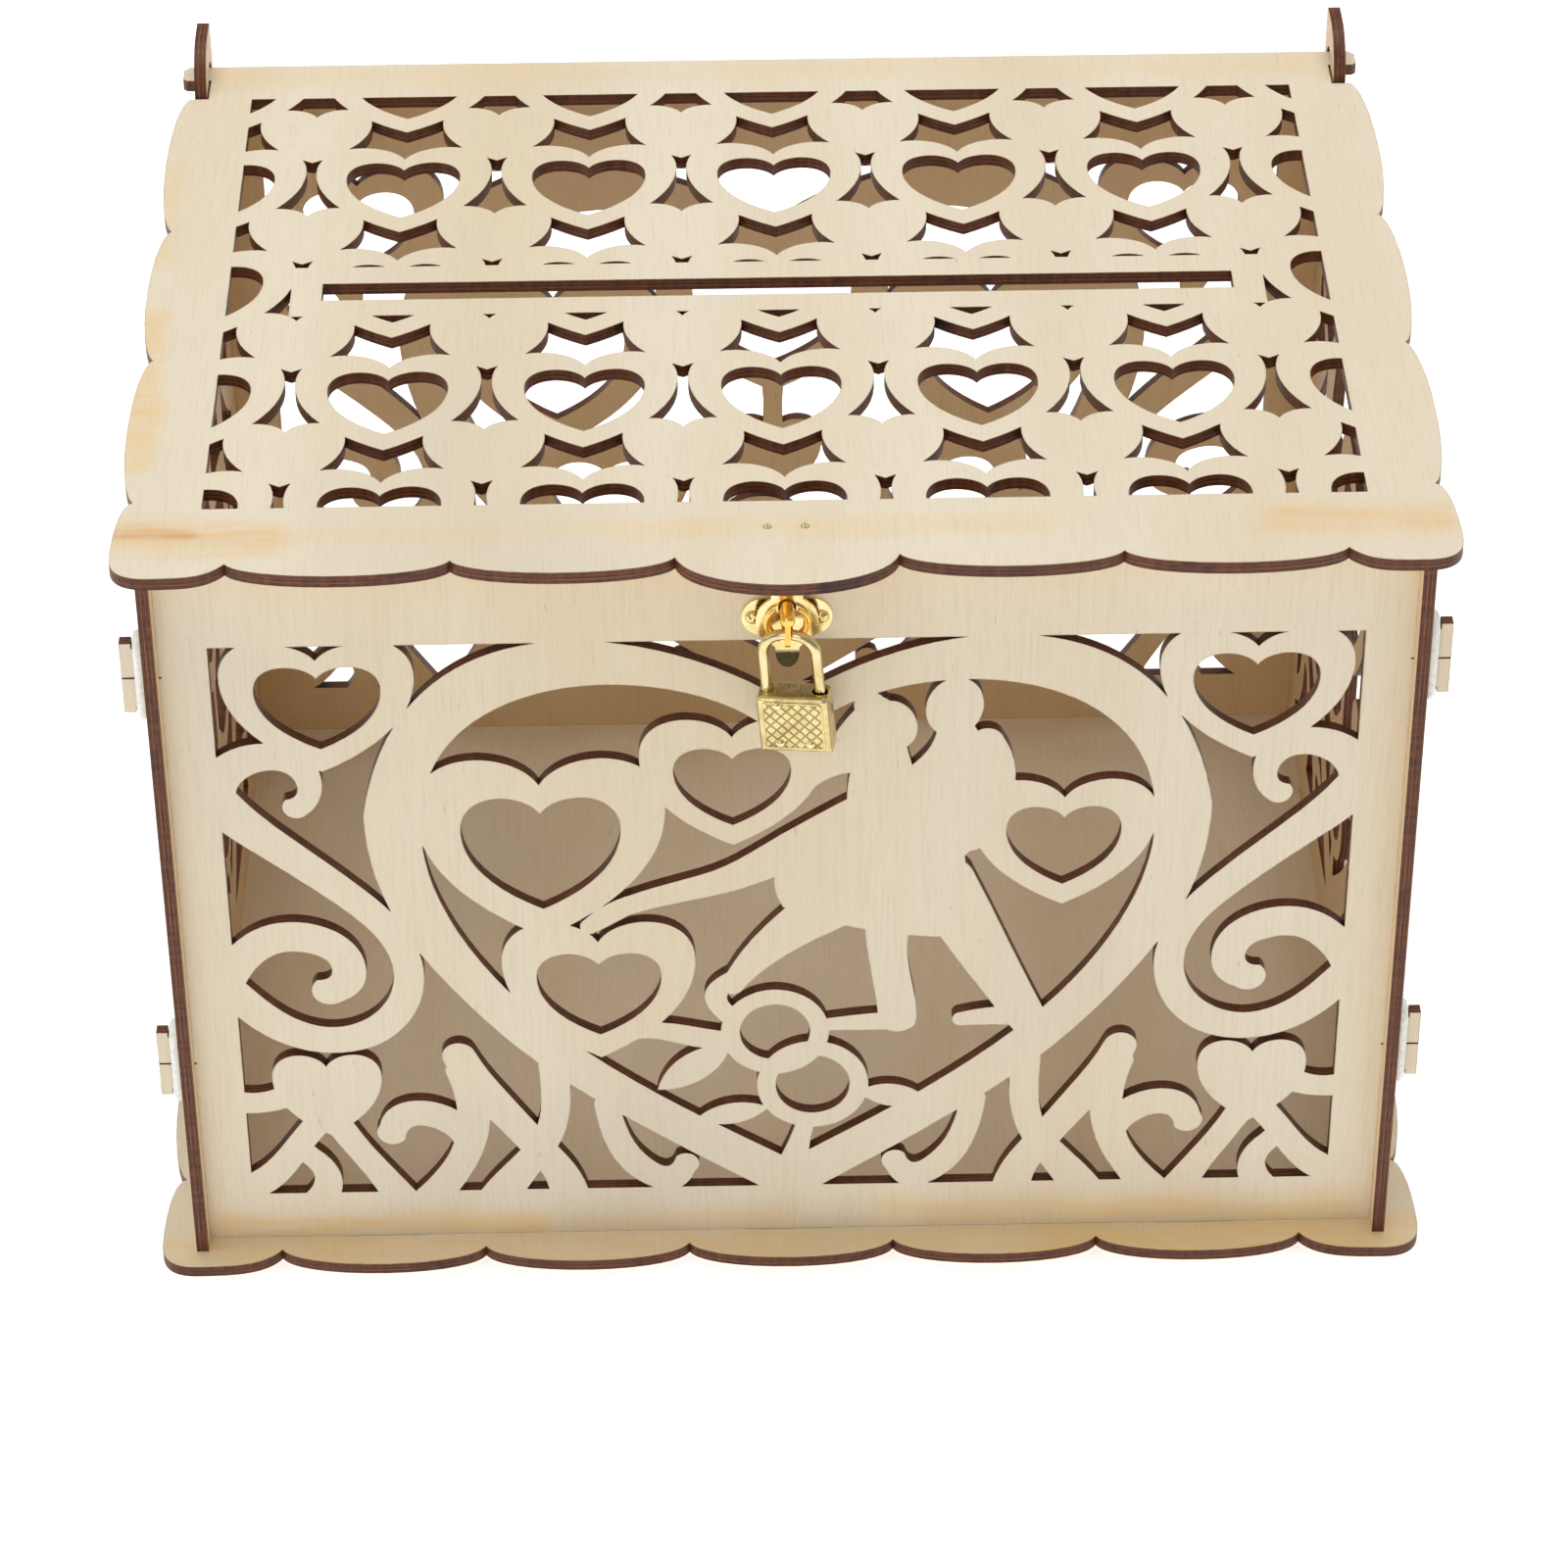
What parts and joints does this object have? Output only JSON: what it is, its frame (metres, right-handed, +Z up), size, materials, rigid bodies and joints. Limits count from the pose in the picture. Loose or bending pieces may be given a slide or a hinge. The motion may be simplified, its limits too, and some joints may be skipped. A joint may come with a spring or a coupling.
{
  "type": "card box",
  "caption": "Rectangular laser-cut plywood card box with heart fretwork walls, a slotted lattice lid on side ears, and a small brass hasp with a padlock.",
  "frame": {"origin": "centre of the base plate's underside, midway between the side walls and midway between the front and back ends of the side walls", "axes": "+X to the right seen from the front, +Y towards the back wall with the lid's hinge, +Z up; the hasp faces -Y"},
  "size_m": [0.3092, 0.2482, 0.2209],
  "materials": {
    "plywood": "bare birch plywood, satin faces, scorched edges",
    "silicone": "milky white, soft",
    "hasp_brass": "bright brass plate",
    "shackle_brass": "polished",
    "padlock_brass": "engraved, slightly worn"
  },
  "bodies": {
    "box": {"base_plate": "plywood", "front_panel": "plywood", "back_panel": "plywood", "left_side_panel": "plywood", "right_side_panel": "plywood", "elastic_ring_front_left_lower": "silicone", "elastic_ring_front_left_upper": "silicone", "elastic_ring_back_left_lower": "silicone", "elastic_ring_back_left_upper": "silicone", "elastic_ring_front_right_lower": "silicone", "elastic_ring_front_right_upper": "silicone", "elastic_ring_back_right_lower": "silicone", "elastic_ring_back_right_upper": "silicone", "staple_plate": "hasp_brass", "staple": "hasp_brass", "staple_plate_screws": "hasp_brass"},
    "lid": {"lid_panel": "plywood", "hasp_bracket": "hasp_brass", "hasp_pin": "hasp_brass", "hasp_bracket_screws": "hasp_brass"},
    "leaf": {"hasp_leaf": "hasp_brass"},
    "shackle": {"padlock_shackle": "shackle_brass"},
    "padlock_case": {"padlock_case_front": "padlock_brass", "padlock_case_back": "padlock_brass", "padlock_rivets": "padlock_brass", "padlock_latch_bolt": "padlock_brass", "padlock_bolt_guide": "padlock_brass", "padlock_key_plug": "padlock_brass"}
  },
  "joints": [
    {"name": "lid_hinge", "type": "hinge", "parent": "box", "child": "lid", "pos_m": [0, 0.105, 0.2085], "axis": [-1, 0, 0], "range_deg": [0, 95]},
    {"name": "leaf_swing", "type": "hinge", "parent": "lid", "child": "leaf", "pos_m": [0, -0.1122, 0.2036], "axis": [1, 0, 0], "range_deg": [0, 81]},
    {"name": "padlock_swing", "type": "hinge", "parent": "box", "child": "shackle", "pos_m": [0, -0.1156, 0.1869], "axis": [-0.9747, 0.2072, -0.0837], "range_deg": [-2, 45]},
    {"name": "padlock_release", "type": "slide", "parent": "shackle", "child": "padlock_case", "axis": [0.0818, -0.0174, -0.9965], "range_m": [0, 0.006]}
  ],
  "couplings": [
    {"joint": "leaf_swing", "follows": "lid_hinge", "ratio": 0.85}
  ]
}
